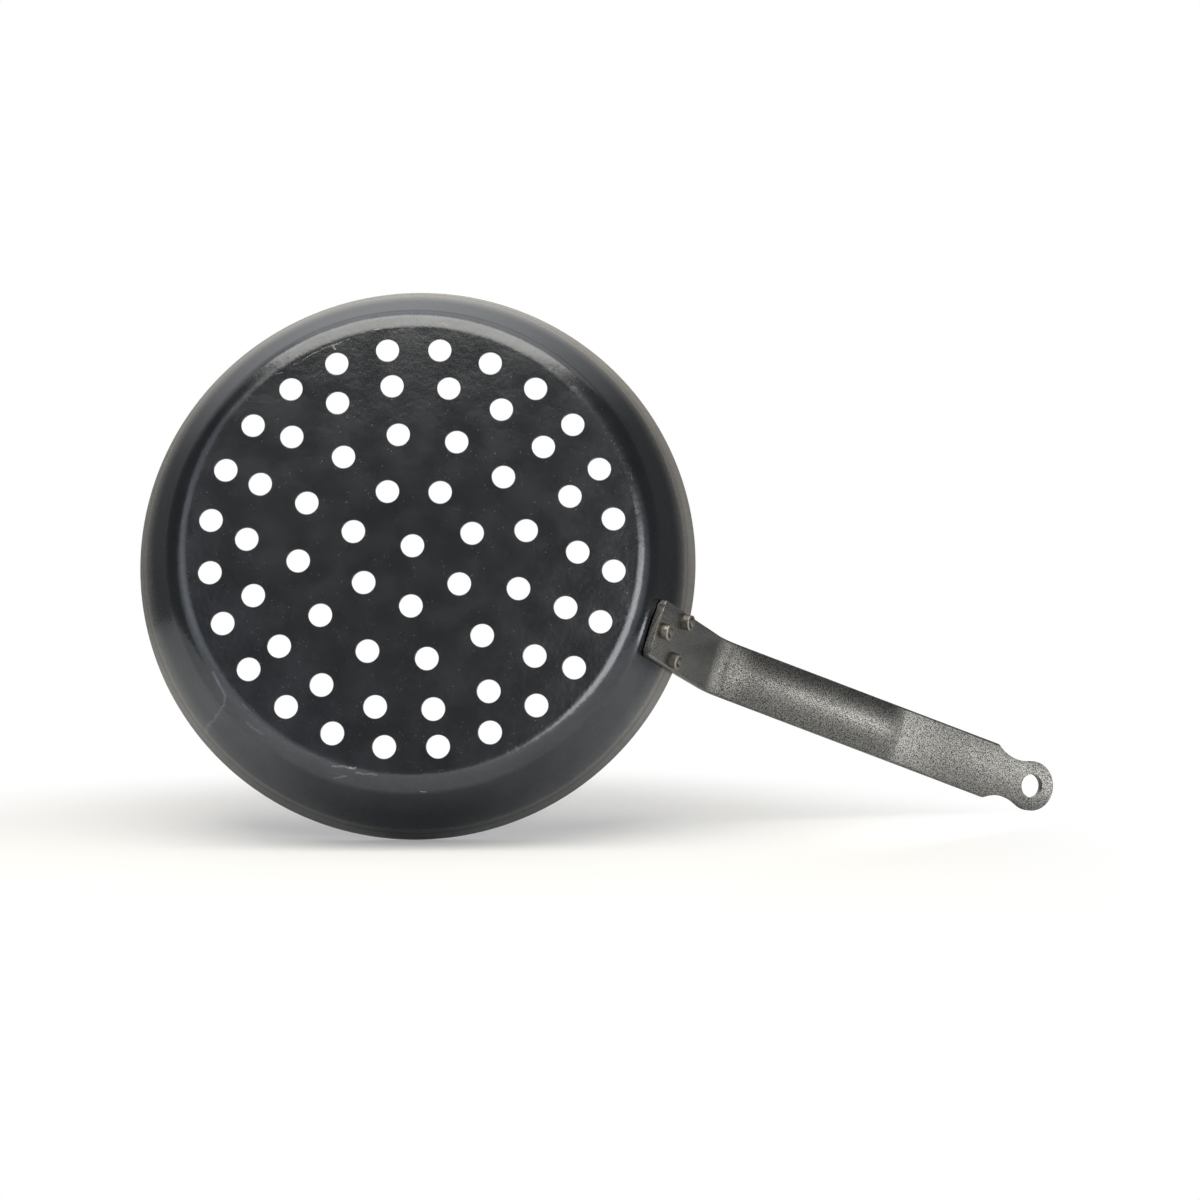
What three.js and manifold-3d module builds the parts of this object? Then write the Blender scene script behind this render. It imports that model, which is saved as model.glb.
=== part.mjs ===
// Perforated steel pan with a riveted flat-bar handle.
// Millimetres, +Z up. The pan stands on its base and the handle points along +X.

import * as THREE from 'three';
import { mergeVertices } from 'three/addons/utils/BufferGeometryUtils.js';
import Module from 'manifold-3d';

const wasm = await Module();
wasm.setup();

// Clearances between the pieces
const FIT_GAP = 0.3;
const SHANK_CLEARANCE = 0.3;

// Pan body: flat base, round corner, straight flared wall
const RIM_RADIUS = 140;
const PAN_HEIGHT = 44;
const BASE_RADIUS = 109;
const CORNER_RADIUS = 12.5;
const SHEET_THICKNESS = 1.5;

// Perforation of the base. Each ring's radius is its share of the outermost ring's radius.
// All rings have a hole on one common line, turned from the handle's line.
const HOLE_DIAMETER = 11.3;
const BASE_EDGE_TO_OUTER_RING = 10.9;
const PATTERN_TURN = THREE.MathUtils.degToRad(124);
const HOLE_RINGS = [
  { share: 0, count: 1 },
  { share: 0.3, count: 7 },
  { share: 0.565, count: 12 },
  { share: 0.815, count: 18 },
  { share: 1, count: 24 },
];

// Flat bar of the handle, with widths at the plate's free end, at the bend and at the neck
const BAR_THICKNESS = 4;
const BAR_EDGE_CHAMFER = 1;
const PLATE_WIDTH = 29.6;
const BEND_WIDTH = 29.2;
const NECK_WIDTH = 30.4;

// Plate of the handle, which lies on the wall and runs on past the rim to the bend
const CORNER_TO_PLATE_END = 1.8;
const PLATE_END_BULGE = 2.2;
const PLATE_END_ROUNDING = 3;
const RIM_TO_BEND = 35.4;
const BEND_RADIUS = 20;
const HANDLE_SLOPE = THREE.MathUtils.degToRad(19.6);

// Grip of the handle, from the bend's vertex to the hanging eye
const BEND_TO_EYE = 198;
const EYE_RADIUS = 13.5;
const EYE_HOLE_DIAMETER = 12.8;
const NECK_RADIUS = 22;
const WAIST_WIDTH = 21.7;

// Crown pressed out of the grip's underside: it fades in at the bend and ends at a crease
const CROWN_HEIGHT = 3;
const CROWN_START_RAMP = 30;
const CROWN_END_RAMP = 16;
const CREASE_TO_EYE = 85.5;

// Rivets, measured from the plate's free end, the rim and the plate's sides
const PLATE_END_TO_LOWER_RIVET = 7.5;
const RIM_TO_UPPER_RIVETS = 14;
const PLATE_SIDE_TO_UPPER_RIVETS = 5;
const SHANK_DIAMETER = 6;
const TAIL_DIAMETER = 7.8;
const TAIL_HEIGHT = 3.8;
const TAIL_EDGE_CHAMFER = 0.5;
const DIMPLE_DIAMETER = 4.6;
const DIMPLE_DEPTH = 2;
const HEAD_DIAMETER = 13;
const HEAD_HEIGHT = 2.6;
const HEAD_RIM_HEIGHT = 0.6;

// Facets
const PAN_SEGMENTS = 72;
const CORNER_STEPS = 7;
const HOLE_SEGMENTS = 20;
const RIVET_SEGMENTS = 20;
const BAR_COLUMNS = 10;
const CUT_MARGIN = 5;

// Wall: the line from the corner's arc to the rim, tangent to the arc
const cornerToRim = new THREE.Vector2(RIM_RADIUS - BASE_RADIUS, PAN_HEIGHT - CORNER_RADIUS);
const wallAngle = cornerToRim.angle() + Math.asin(CORNER_RADIUS / cornerToRim.length());
const wallLength = Math.sqrt(cornerToRim.lengthSq() - CORNER_RADIUS ** 2);
const wallUp = new THREE.Vector2(Math.cos(wallAngle), Math.sin(wallAngle));
const wallOut = new THREE.Vector2(Math.sin(wallAngle), -Math.cos(wallAngle));

// Point of the wall's outer face at a distance down from the rim, as radius and height
function wallPoint(downFromRim) {
  return new THREE.Vector2(RIM_RADIUS, PAN_HEIGHT).addScaledVector(wallUp, -downFromRim);
}

// Depth of a circle's arc of the given radius over half of a chord
function sagitta(radius, halfChord) {
  return radius - Math.sqrt(radius ** 2 - halfChord ** 2);
}

// Solids

function solidFrom(geometry) {
  const bare = geometry.clone();
  bare.deleteAttribute('normal');
  bare.deleteAttribute('uv');
  const merged = mergeVertices(bare);
  const corners = merged.index.array;
  const triangles = [];
  for (let i = 0; i < corners.length; i += 3) {
    const [a, b, c] = corners.subarray(i, i + 3);
    if (a !== b && b !== c && c !== a) triangles.push(a, b, c);
  }
  return new wasm.Manifold(new wasm.Mesh({
    numProp: 3,
    vertProperties: new Float32Array(merged.getAttribute('position').array),
    triVerts: new Uint32Array(triangles),
  }));
}

function geometryFrom(solid) {
  const { vertProperties, triVerts } = solid.getMesh();
  const geometry = new THREE.BufferGeometry();
  geometry.setAttribute('position', new THREE.BufferAttribute(vertProperties, 3));
  geometry.setIndex(new THREE.BufferAttribute(triVerts, 1));
  return geometry;
}

// Round cutter along Z, centred on the origin
function roundCutter(diameter, length, segments) {
  const cutter = new THREE.CylinderGeometry(diameter / 2, diameter / 2, length, segments);
  return cutter.rotateX(Math.PI / 2);
}

// Pan body

function arcPoints(centre, radius, fromAngle, toAngle, steps) {
  const points = [];
  for (let i = 0; i <= steps; i += 1) {
    const angle = fromAngle + ((toAngle - fromAngle) * i) / steps;
    points.push(new THREE.Vector2(Math.cos(angle), Math.sin(angle)).multiplyScalar(radius).add(centre));
  }
  return points;
}

function panProfile() {
  const centre = new THREE.Vector2(BASE_RADIUS, CORNER_RADIUS);
  const base = -Math.PI / 2;
  const wall = wallAngle - Math.PI / 2;
  return [
    new THREE.Vector2(0, 0),
    ...arcPoints(centre, CORNER_RADIUS, base, wall, CORNER_STEPS),
    new THREE.Vector2(RIM_RADIUS, PAN_HEIGHT),
    new THREE.Vector2(RIM_RADIUS - SHEET_THICKNESS / Math.sin(wallAngle), PAN_HEIGHT),
    ...arcPoints(centre, CORNER_RADIUS - SHEET_THICKNESS, wall, base, CORNER_STEPS),
    new THREE.Vector2(0, SHEET_THICKNESS),
  ];
}

function holeCentres() {
  const outerRing = BASE_RADIUS - BASE_EDGE_TO_OUTER_RING;
  const centres = [];
  for (const { share, count } of HOLE_RINGS) {
    for (let i = 0; i < count; i += 1) {
      const angle = PATTERN_TURN + (2 * Math.PI * i) / count;
      centres.push(new THREE.Vector2(Math.cos(angle), Math.sin(angle)).multiplyScalar(share * outerRing));
    }
  }
  return centres;
}

function panBodyGeometry(rivets) {
  const bowl = new THREE.LatheGeometry(panProfile(), PAN_SEGMENTS).rotateX(Math.PI / 2);
  let body = solidFrom(bowl);
  for (const centre of holeCentres()) {
    const cutter = roundCutter(HOLE_DIAMETER, 2 * CUT_MARGIN, HOLE_SEGMENTS);
    body = body.subtract(solidFrom(cutter.translate(centre.x, centre.y, 0)));
  }
  for (const rivet of rivets) body = body.subtract(rivetHole(rivet));
  return geometryFrom(body);
}

// Handle: the bar's centre line follows its underside, which is the plate's outer face.
// It is a path in the XZ plane, measured by the distance run from the plate's free end.

const plateReach = wallLength - CORNER_TO_PLATE_END;
const bendTurn = wallAngle - HANDLE_SLOPE;
const bendTangent = BEND_RADIUS * Math.tan(bendTurn / 2);
const bendStart = plateReach + RIM_TO_BEND - bendTangent;
const bendEnd = bendStart + BEND_RADIUS * bendTurn;
const eyeStation = bendEnd + BEND_TO_EYE - bendTangent;
const creaseStation = eyeStation - CREASE_TO_EYE;
const crownStart = (bendStart + bendEnd) / 2;

const plateOrigin = wallPoint(plateReach).addScaledVector(wallOut, FIT_GAP + BAR_THICKNESS);
const bendCentre = plateOrigin.clone()
  .addScaledVector(wallUp, bendStart)
  .addScaledVector(wallOut, BEND_RADIUS);

// Place, direction and upward normal of the bar's underside at a station
function pathAt(station) {
  const turned = THREE.MathUtils.clamp((station - bendStart) / BEND_RADIUS, 0, bendTurn);
  const angle = wallAngle - turned;
  const along = new THREE.Vector2(Math.cos(angle), Math.sin(angle));
  const up = new THREE.Vector2(-along.y, along.x);
  const point = new THREE.Vector2();
  if (station <= bendStart) {
    point.copy(plateOrigin).addScaledVector(along, station);
  } else {
    point.copy(bendCentre).addScaledVector(up, BEND_RADIUS);
    point.addScaledVector(along, Math.max(0, station - bendEnd));
  }
  return { point, along, up };
}

// Neck: two arcs, each tangent to the eye's circle and as far apart as the waist is wide
const neckCentreY = WAIST_WIDTH / 2 + NECK_RADIUS;
const neckCentreToEye = Math.sqrt((EYE_RADIUS + NECK_RADIUS) ** 2 - neckCentreY ** 2);
const neckRun = Math.sqrt(NECK_RADIUS ** 2 - (neckCentreY - NECK_WIDTH / 2) ** 2);
const neckStation = eyeStation - neckCentreToEye - neckRun;

// Half of the bar's width: two straight tapers, and round corners at the plate's free end
function halfWidthAt(station) {
  const onPlate = THREE.MathUtils.clamp(station / bendEnd, 0, 1);
  const onGrip = THREE.MathUtils.clamp((station - bendEnd) / (neckStation - bendEnd), 0, 1);
  const width = PLATE_WIDTH + (BEND_WIDTH - PLATE_WIDTH) * onPlate + (NECK_WIDTH - BEND_WIDTH) * onGrip;
  const toRounding = Math.max(0, PLATE_END_ROUNDING - station);
  return width / 2 - sagitta(PLATE_END_ROUNDING, toRounding);
}

// How far the crown drops the middle of the bar
function crownDrop(station) {
  const start = THREE.MathUtils.smoothstep(station, crownStart, crownStart + CROWN_START_RAMP);
  const toCrease = THREE.MathUtils.clamp((creaseStation - station) / CROWN_END_RAMP, 0, 1);
  return CROWN_HEIGHT * start * Math.sin((toCrease * Math.PI) / 2);
}

// How far the plate's face drops towards the round wall beside its centre line
function saddleDrop(station, y) {
  const { point, up } = pathAt(station);
  const wallRadius = point.x + up.x * (BAR_THICKNESS + FIT_GAP);
  const wrap = 1 - THREE.MathUtils.smoothstep(station, plateReach, bendStart);
  return wrap * sagitta(wallRadius, y) * Math.sin(wallAngle);
}

// Point of the bar at a station, a distance from its middle and a height over its underside
function barPoint(station, y, height) {
  const half = halfWidthAt(station);
  const bulge = PLATE_END_BULGE * (y / half) ** 2 * Math.max(0, 1 - station / plateReach);
  const { point, up } = pathAt(station + bulge);
  const lift = height - crownDrop(station) * (1 - (y / half) ** 2) + saddleDrop(station, y);
  return new THREE.Vector3(point.x + up.x * lift, y, point.y + up.y * lift);
}

// Closed section at a station: underside, one edge, upper side, other edge
function barSection(station) {
  const half = halfWidthAt(station);
  const flat = half - BAR_EDGE_CHAMFER;
  const across = [];
  for (let i = 0; i <= BAR_COLUMNS; i += 1) across.push(flat * ((2 * i) / BAR_COLUMNS - 1));
  const low = BAR_EDGE_CHAMFER;
  const high = BAR_THICKNESS - BAR_EDGE_CHAMFER;
  return [
    ...across.map((y) => barPoint(station, y, 0)),
    barPoint(station, half, low),
    barPoint(station, half, high),
    ...across.toReversed().map((y) => barPoint(station, y, BAR_THICKNESS)),
    barPoint(station, -half, high),
    barPoint(station, -half, low),
  ];
}

function evenSteps(from, to, count) {
  return Array.from({ length: count }, (_, i) => from + ((to - from) * i) / count);
}

function barStations() {
  const rounding = evenSteps(0, Math.PI / 2, 4).map((angle) => PLATE_END_ROUNDING * (1 - Math.cos(angle)));
  const crownFull = crownStart + CROWN_START_RAMP;
  const crownFade = creaseStation - CROWN_END_RAMP;
  const barEnd = eyeStation + EYE_RADIUS + CUT_MARGIN;
  return [
    ...rounding,
    ...evenSteps(PLATE_END_ROUNDING, plateReach, 4),
    ...evenSteps(plateReach, bendStart, 3),
    ...evenSteps(bendStart, crownStart, 3),
    ...evenSteps(crownStart, crownFull, 8),
    ...evenSteps(crownFull, crownFade, 3),
    ...evenSteps(crownFade, creaseStation, 6),
    creaseStation,
    neckStation,
    barEnd,
  ];
}

// Quads that close the bar's end, between the underside's and the upper side's points
function endCapQuads(first) {
  const last = BAR_COLUMNS;
  const corners = 2 * BAR_COLUMNS + 6;
  const upper = (i) => first + 2 * BAR_COLUMNS + 3 - i;
  const quads = [
    [first + last, first + last + 1, first + last + 2, upper(last)],
    [first + corners - 1, first, upper(0), first + corners - 2],
  ];
  for (let i = 0; i < last; i += 1) quads.push([first + i, first + i + 1, upper(i + 1), upper(i)]);
  return quads;
}

function barGeometry() {
  const sections = barStations().map(barSection);
  const corners = sections[0].length;
  const quads = [];
  for (let row = 0; row < sections.length - 1; row += 1) {
    for (let i = 0; i < corners; i += 1) {
      const here = row * corners + i;
      const beside = row * corners + ((i + 1) % corners);
      quads.push([here, beside, beside + corners, here + corners]);
    }
  }
  const farEnd = endCapQuads((sections.length - 1) * corners);
  quads.push(...endCapQuads(0).map((quad) => quad.toReversed()), ...farEnd);
  const geometry = new THREE.BufferGeometry().setFromPoints(sections.flat());
  geometry.setIndex(quads.flatMap(([a, b, c, d]) => [a, b, c, a, c, d]));
  return geometry;
}

// Frame of the straight grip: X along the bar, Z up from its underside, origin under the eye
function gripFrame() {
  const { point, along, up } = pathAt(eyeStation);
  return new THREE.Matrix4()
    .makeBasis(
      new THREE.Vector3(along.x, 0, along.y),
      new THREE.Vector3(0, 1, 0),
      new THREE.Vector3(up.x, 0, up.y),
    )
    .setPosition(point.x, 0, point.y);
}

// Waste that the punch takes away round the neck and the eye, as a C-shaped outline
function punchWasteGeometry() {
  const side = NECK_WIDTH / 2;
  const outside = side + CUT_MARGIN;
  const far = EYE_RADIUS + 2 * CUT_MARGIN;
  const notch = neckStation - eyeStation;
  const neckX = -neckCentreToEye;
  const atNotch = Math.atan2(neckCentreY - side, notch - neckX);
  const atEye = Math.atan2(neckCentreY, neckCentreToEye);
  const outline = new THREE.Shape();
  outline.moveTo(notch, outside);
  outline.lineTo(notch, side);
  outline.absarc(neckX, neckCentreY, NECK_RADIUS, -atNotch, -atEye, false);
  outline.absarc(0, 0, EYE_RADIUS, Math.PI - atEye, atEye - Math.PI, true);
  outline.absarc(neckX, -neckCentreY, NECK_RADIUS, atEye, atNotch, false);
  outline.lineTo(notch, -outside);
  outline.lineTo(far, -outside);
  outline.lineTo(far, outside);
  outline.closePath();
  const waste = new THREE.ExtrudeGeometry(outline, {
    depth: BAR_THICKNESS + 2 * CUT_MARGIN,
    bevelEnabled: false,
    curveSegments: HOLE_SEGMENTS,
  });
  return waste.translate(0, 0, -CUT_MARGIN);
}

function handleGeometry(rivets) {
  const frame = gripFrame();
  const eyeHole = roundCutter(EYE_HOLE_DIAMETER, 2 * (BAR_THICKNESS + CUT_MARGIN), HOLE_SEGMENTS);
  let bar = solidFrom(barGeometry())
    .subtract(solidFrom(punchWasteGeometry().applyMatrix4(frame)))
    .subtract(solidFrom(eyeHole.applyMatrix4(frame)));
  for (const rivet of rivets) bar = bar.subtract(rivetHole(rivet));
  return geometryFrom(bar);
}

// Rivets: each stands square to the wall, at a distance down from the rim and to one side

const lowerRivetDown = plateReach - PLATE_END_TO_LOWER_RIVET;
const upperRivetStation = plateReach - RIM_TO_UPPER_RIVETS;
const upperRivetSide = halfWidthAt(upperRivetStation) - PLATE_SIDE_TO_UPPER_RIVETS;
const rivets = [
  { name: 'rivet_lower', down: lowerRivetDown, side: 0 },
  { name: 'rivet_upper_left', down: RIM_TO_UPPER_RIVETS, side: -upperRivetSide },
  { name: 'rivet_upper_right', down: RIM_TO_UPPER_RIVETS, side: upperRivetSide },
];

// Frame of a rivet: origin on the wall's outer face, Z outwards along the rivet
function rivetFrame({ down, side }) {
  const { x: radius, y: height } = wallPoint(down);
  const azimuth = Math.asin(side / radius);
  const outwards = new THREE.Vector3(wallOut.x, 0, wallOut.y);
  const tilt = new THREE.Quaternion().setFromUnitVectors(new THREE.Vector3(0, 0, 1), outwards);
  return new THREE.Matrix4()
    .makeRotationZ(azimuth)
    .multiply(new THREE.Matrix4().makeTranslation(radius, 0, height))
    .multiply(new THREE.Matrix4().makeRotationFromQuaternion(tilt));
}

function rivetHole(rivet) {
  const length = 2 * (BAR_THICKNESS + SHEET_THICKNESS + CUT_MARGIN);
  const cutter = roundCutter(SHANK_DIAMETER + 2 * SHANK_CLEARANCE, length, RIVET_SEGMENTS);
  return solidFrom(cutter.applyMatrix4(rivetFrame(rivet)));
}

// Rivet along Z: low domed head inside the pan, shank, and a dimpled tail outside the plate.
// The head stands off by the depth that the hollow side of the wall has over its width.
function rivetGeometry({ down }) {
  const wallRadius = wallPoint(down).x - SHEET_THICKNESS;
  const headSeat = -SHEET_THICKNESS - FIT_GAP - sagitta(wallRadius, HEAD_DIAMETER / 2);
  const tailSeat = BAR_THICKNESS + 2 * FIT_GAP;
  const tailEnd = tailSeat + TAIL_HEIGHT;
  const head = HEAD_DIAMETER / 2;
  const domeHeight = HEAD_HEIGHT - HEAD_RIM_HEIGHT;
  const domeRadius = (head ** 2 + domeHeight ** 2) / (2 * domeHeight);
  const domeCentre = new THREE.Vector2(0, headSeat - HEAD_HEIGHT + domeRadius);
  const domeEdge = -Math.acos(head / domeRadius);
  const profile = [
    ...arcPoints(domeCentre, domeRadius, -Math.PI / 2, domeEdge, 4),
    new THREE.Vector2(head, headSeat),
    new THREE.Vector2(SHANK_DIAMETER / 2, headSeat),
    new THREE.Vector2(SHANK_DIAMETER / 2, tailSeat),
    new THREE.Vector2(TAIL_DIAMETER / 2, tailSeat),
    new THREE.Vector2(TAIL_DIAMETER / 2, tailEnd - TAIL_EDGE_CHAMFER),
    new THREE.Vector2(TAIL_DIAMETER / 2 - TAIL_EDGE_CHAMFER, tailEnd),
    new THREE.Vector2(DIMPLE_DIAMETER / 2, tailEnd),
    new THREE.Vector2(0, tailEnd - DIMPLE_DEPTH),
  ];
  return new THREE.LatheGeometry(profile, RIVET_SEGMENTS).rotateX(Math.PI / 2);
}

// Scene

function material(color, roughness, metalness) {
  return new THREE.MeshStandardMaterial({ color, roughness, metalness, flatShading: true });
}

function namedMesh(name, geometry, surface) {
  const mesh = new THREE.Mesh(geometry, surface);
  mesh.name = name;
  return mesh;
}

const assembly = new THREE.Group();
assembly.add(
  namedMesh('pan_body', panBodyGeometry(rivets), material('#2b2e31', 0.45, 0.7)),
  namedMesh('handle', handleGeometry(rivets), material('#6b6a66', 0.55, 0.5)),
);
for (const rivet of rivets) {
  const mesh = namedMesh(rivet.name, rivetGeometry(rivet), material('#8a857d', 0.4, 0.8));
  mesh.applyMatrix4(rivetFrame(rivet));
  assembly.add(mesh);
}

// The origin is under the middle of the whole object, on the plane that the base stands on
const bounds = new THREE.Box3().setFromObject(assembly);
assembly.position.x = -(bounds.min.x + bounds.max.x) / 2;

const vegetablePan = new THREE.Group();
vegetablePan.add(assembly);

export default vegetablePan;
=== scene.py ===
"""Studio picture of a perforated steel pan with a riveted flat-bar handle.

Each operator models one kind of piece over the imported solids, and the last one sets the stage.
"""

import math

import bmesh
import bpy
from mathutils import Matrix, Vector


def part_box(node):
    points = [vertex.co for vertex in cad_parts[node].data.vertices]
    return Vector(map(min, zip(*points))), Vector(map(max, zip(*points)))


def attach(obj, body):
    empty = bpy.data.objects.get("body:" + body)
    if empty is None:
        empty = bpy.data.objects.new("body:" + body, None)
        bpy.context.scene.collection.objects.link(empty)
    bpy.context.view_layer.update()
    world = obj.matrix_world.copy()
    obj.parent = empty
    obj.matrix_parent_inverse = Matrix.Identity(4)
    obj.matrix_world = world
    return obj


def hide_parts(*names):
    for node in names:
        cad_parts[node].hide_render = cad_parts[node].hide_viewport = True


bl_info = {
    "name": "Perforated Pan",
    "version": (1, 0, 0),
    "blender": (4, 5, 0),
    "location": "View3D > Sidebar > Pan",
    "description": "Models the pan, its handle and its rivets, and sets them on a studio stage",
    "category": "Object",
}

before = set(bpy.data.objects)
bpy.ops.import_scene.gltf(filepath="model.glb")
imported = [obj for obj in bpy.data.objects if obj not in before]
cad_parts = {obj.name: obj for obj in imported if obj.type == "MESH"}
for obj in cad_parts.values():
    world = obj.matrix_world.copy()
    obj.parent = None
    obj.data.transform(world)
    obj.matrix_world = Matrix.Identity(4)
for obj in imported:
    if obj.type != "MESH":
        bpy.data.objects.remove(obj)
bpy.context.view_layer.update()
PAN_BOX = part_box("pan_body")
AXIS_X = (PAN_BOX[0][0] + PAN_BOX[1][0]) / 2

# Slack for comparing lengths, in metres.
SLACK = 1e-5

# Each ring of holes: share of the outermost ring's radius, and number of holes.
HOLE_RINGS = ((0.0, 1), (0.3, 7), (0.565, 12), (0.815, 18), (1.0, 24))
# Corners of the bowl's outline and of each hole, and width of the narrow faces beside them.
BOWL_SIDES, HOLE_SIDES, HOLE_LIP = 216, 40, 0.00045
# Steps round the bowl's corner, and the wall's rings of vertices, as distances from the rim.
CORNER_STEPS = 15
WALL_RINGS = (0.034, 0.025, 0.017, 0.010, 0.005, 0.0)

# Cuts across the bar's section, and steps along the plate, bend, grip and crown's end.
SECTION_CUTS, PLATE_STEPS, BEND_STEPS, GRIP_STEPS, CREASE_STEPS = 27, 20, 16, 34, 12
# How far the unpunched bar runs past the eye, and the punched waste past the bar's sides.
SPARE_BAR, SPARE_WASTE = 0.004, 0.005
# Level at which the punch starts, how far it goes, and lengths of the two drills.
PUNCH_START, PUNCH_DEPTH = -0.006, 0.016
EYE_DRILL, RIVET_DRILL = 0.03, 0.02


# Settings


def number(name, description, default, **options):
    """A number, as a property of a settings group."""
    return bpy.props.FloatProperty(name=name, description=description, default=default, **options)


def numbers(name, description, default, subtype, **options):
    """Some numbers that belong together, as a property of a settings group."""
    return bpy.props.FloatVectorProperty(
        name=name, description=description, default=default, subtype=subtype, **options,
    )


def length(name, description, default):
    """A length in metres."""
    return number(name, description, default, precision=5, subtype="DISTANCE", unit="LENGTH")


def angle(name, description, degrees):
    """An angle, given in degrees."""
    return number(name, description, math.radians(degrees), subtype="ANGLE", unit="ROTATION")


def share(name, description, default):
    """A share between nothing and all."""
    return number(name, description, default, min=0.0, max=1.0, subtype="FACTOR")


def colour(name, description, default):
    """A linear colour."""
    return numbers(name, description, (*default, 1.0), "COLOR", size=4, min=0.0, max=1.0)


def direction(name, description, default):
    """A direction in space."""
    return numbers(name, description, default, "DIRECTION")


class PanSizes(bpy.types.PropertyGroup):
    """Sizes of the pressed bowl and of its perforation."""

    rim_radius: length("Rim radius", "From the axis to the outside of the rim", PAN_BOX[1][1])
    height: length("Height", "From the base to the rim", PAN_BOX[1][2])
    base_radius: length("Base radius", "Flat part of the base", 0.109)
    corner_radius: length("Corner radius", "Outside radius between base and wall", 0.0125)
    sheet: length("Sheet", "Thickness of the sheet", 0.0015)
    hole_radius: length("Hole radius", "Radius of each punched hole", 0.00565)
    ring_inset: length("Ring inset", "From the base's edge to the outermost ring of holes", 0.0109)
    pattern_turn: angle("Pattern turn", "Turn of the holes' common line from the handle", 124)
    edge_round: length("Edge round", "Rounding of the punched and cut edges", 0.00022)


class HandleSizes(bpy.types.PropertyGroup):
    """Sizes of the flat-bar handle."""

    thickness: length("Thickness", "Thickness of the bar", 0.004)
    edge_round: length("Edge round", "Rounding of the bar's rolled edges", 0.001)
    end_edge_round: length("End edge round", "Rounding of the edges of the plate's end", 0.0005)
    cut_round: length("Cut round", "Rounding of the edges at the neck and the eye", 0.0003)
    gap: length("Gap", "Clearance between the plate and the wall", 0.0003)
    plate_width: length("Plate width", "Width at the plate's free end", 0.0296)
    bend_width: length("Bend width", "Width at the bend", 0.0292)
    neck_width: length("Neck width", "Width before the neck", 0.0304)
    plate_margin: length("Plate margin", "From the corner of the wall to the plate's end", 0.0018)
    end_bulge: length("End bulge", "How far the plate's end stands out in its middle", 0.0022)
    end_round: length("End round", "Radius of the plate's two corners", 0.003)
    bend_run: length("Bend run", "From the rim to the bend's vertex, along the wall", 0.0354)
    bend_radius: length("Bend radius", "Radius of the bend on the underside", 0.020)
    slope: angle("Slope", "Slope of the grip", 19.6)
    grip: length("Grip", "From the bend's vertex to the middle of the eye", 0.198)
    eye_radius: length("Eye radius", "Outside radius of the eye", 0.0135)
    eye_hole: length("Eye hole", "Radius of the hole in the eye", 0.0064)
    neck_radius: length("Neck radius", "Radius of the two arcs of the neck", 0.022)
    waist: length("Waist", "Least width of the neck", 0.0217)
    crown_height: length("Crown height", "How far the crown stands out of the underside", 0.003)
    crown_fade_in: length("Crown fade in", "Run over which the crown rises", 0.022)
    crown_fade_out: length("Crown fade out", "Run from the full crown to the crease", 0.016)
    crease_to_eye: length("Crease to eye", "From the crown's end to the middle of the eye", 0.0855)


class RivetSizes(bpy.types.PropertyGroup):
    """Sizes and places of the three rivets."""

    shank: length("Shank", "Radius of the shank", 0.003)
    clearance: length("Clearance", "Between the shank and its holes", 0.0003)
    tail: length("Tail", "Radius of the tail outside the plate", 0.0039)
    tail_height: length("Tail height", "Height of the tail above the plate", 0.0041)
    tail_edge: length("Tail edge", "Rounding of the tail's edge", 0.0005)
    dimple: length("Dimple", "Radius of the hollow in the tail", 0.0023)
    dimple_depth: length("Dimple depth", "Depth of the hollow in the tail", 0.0018)
    head: length("Head", "Radius of the head inside the pan", 0.0065)
    head_height: length("Head height", "Height of the head inside the pan", 0.0026)
    head_rim: length("Head rim", "Height of the straight rim of the head", 0.0006)
    end_to_lower: length("End to lower", "From the plate's end to the lower rivet", 0.0075)
    rim_to_upper: length("Rim to upper", "From the rim down to the upper rivets", 0.014)
    side_to_upper: length("Side to upper", "From the plate's side to an upper rivet", 0.005)


class Finishes(bpy.types.PropertyGroup):
    """Colours and roughness of the finishes."""

    # Also laid as a painted shade line inside the ground band.
    blued_steel: colour("Blued steel", "Oxide skin of the pan", (0.093, 0.100, 0.112))
    # Painted shade: this pale wall fades back to the darker skin on the side that faces the floor.
    blued_wall: colour("Blued wall", "Thinner oxide skin high on the wall", (0.27, 0.272, 0.27))
    ground_steel: colour("Ground steel", "Band ground below the rim", (0.325, 0.317, 0.300))
    grazing_steel: colour("Grazing steel", "Tint of the skin seen along it", (0.8, 0.8, 0.8))
    # Also laid as a painted highlight ring on the rivets' tails.
    scratch_and_highlight: colour("Bright scratch", "Fresh scratches", (0.62, 0.61, 0.58))
    # Also laid as painted highlight lines: where the pan's ground band starts, and along the edges
    # of the handle's plate.
    bare_steel_and_highlight: colour("Bare steel", "Where the skin is worn or ground away", (0.30, 0.285, 0.26))
    steel_roughness: share("Steel roughness", "Roughness of the pan's skin", 0.19)
    coating: colour("Coating", "Lighter metal flake of the handle's coating", (0.280, 0.280, 0.269))
    coating_dark: colour("Coating dark", "Between the coating's flakes", (0.022, 0.0225, 0.024))
    coating_roughness: share("Coating roughness", "Roughness of the coating", 0.32)
    plate_dark: colour("Plate dark", "Dark patches of the smooth plate", (0.142, 0.146, 0.148))
    plate_pale: colour("Plate pale", "Pale patches of the smooth plate", (0.210, 0.215, 0.217))
    rivet_steel: colour("Rivet steel", "Plain steel of the rivets", (0.22, 0.205, 0.185))
    rivet_hollow: colour("Rivet hollow", "Hollow of the rivet's tail", (0.12, 0.13, 0.15))
    rivet_burnt: colour("Rivet burnt", "Burnt ring round the hollow", (0.12, 0.085, 0.065))
    rivet_roughness: share("Rivet roughness", "Roughness of the rivets", 0.34)


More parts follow.
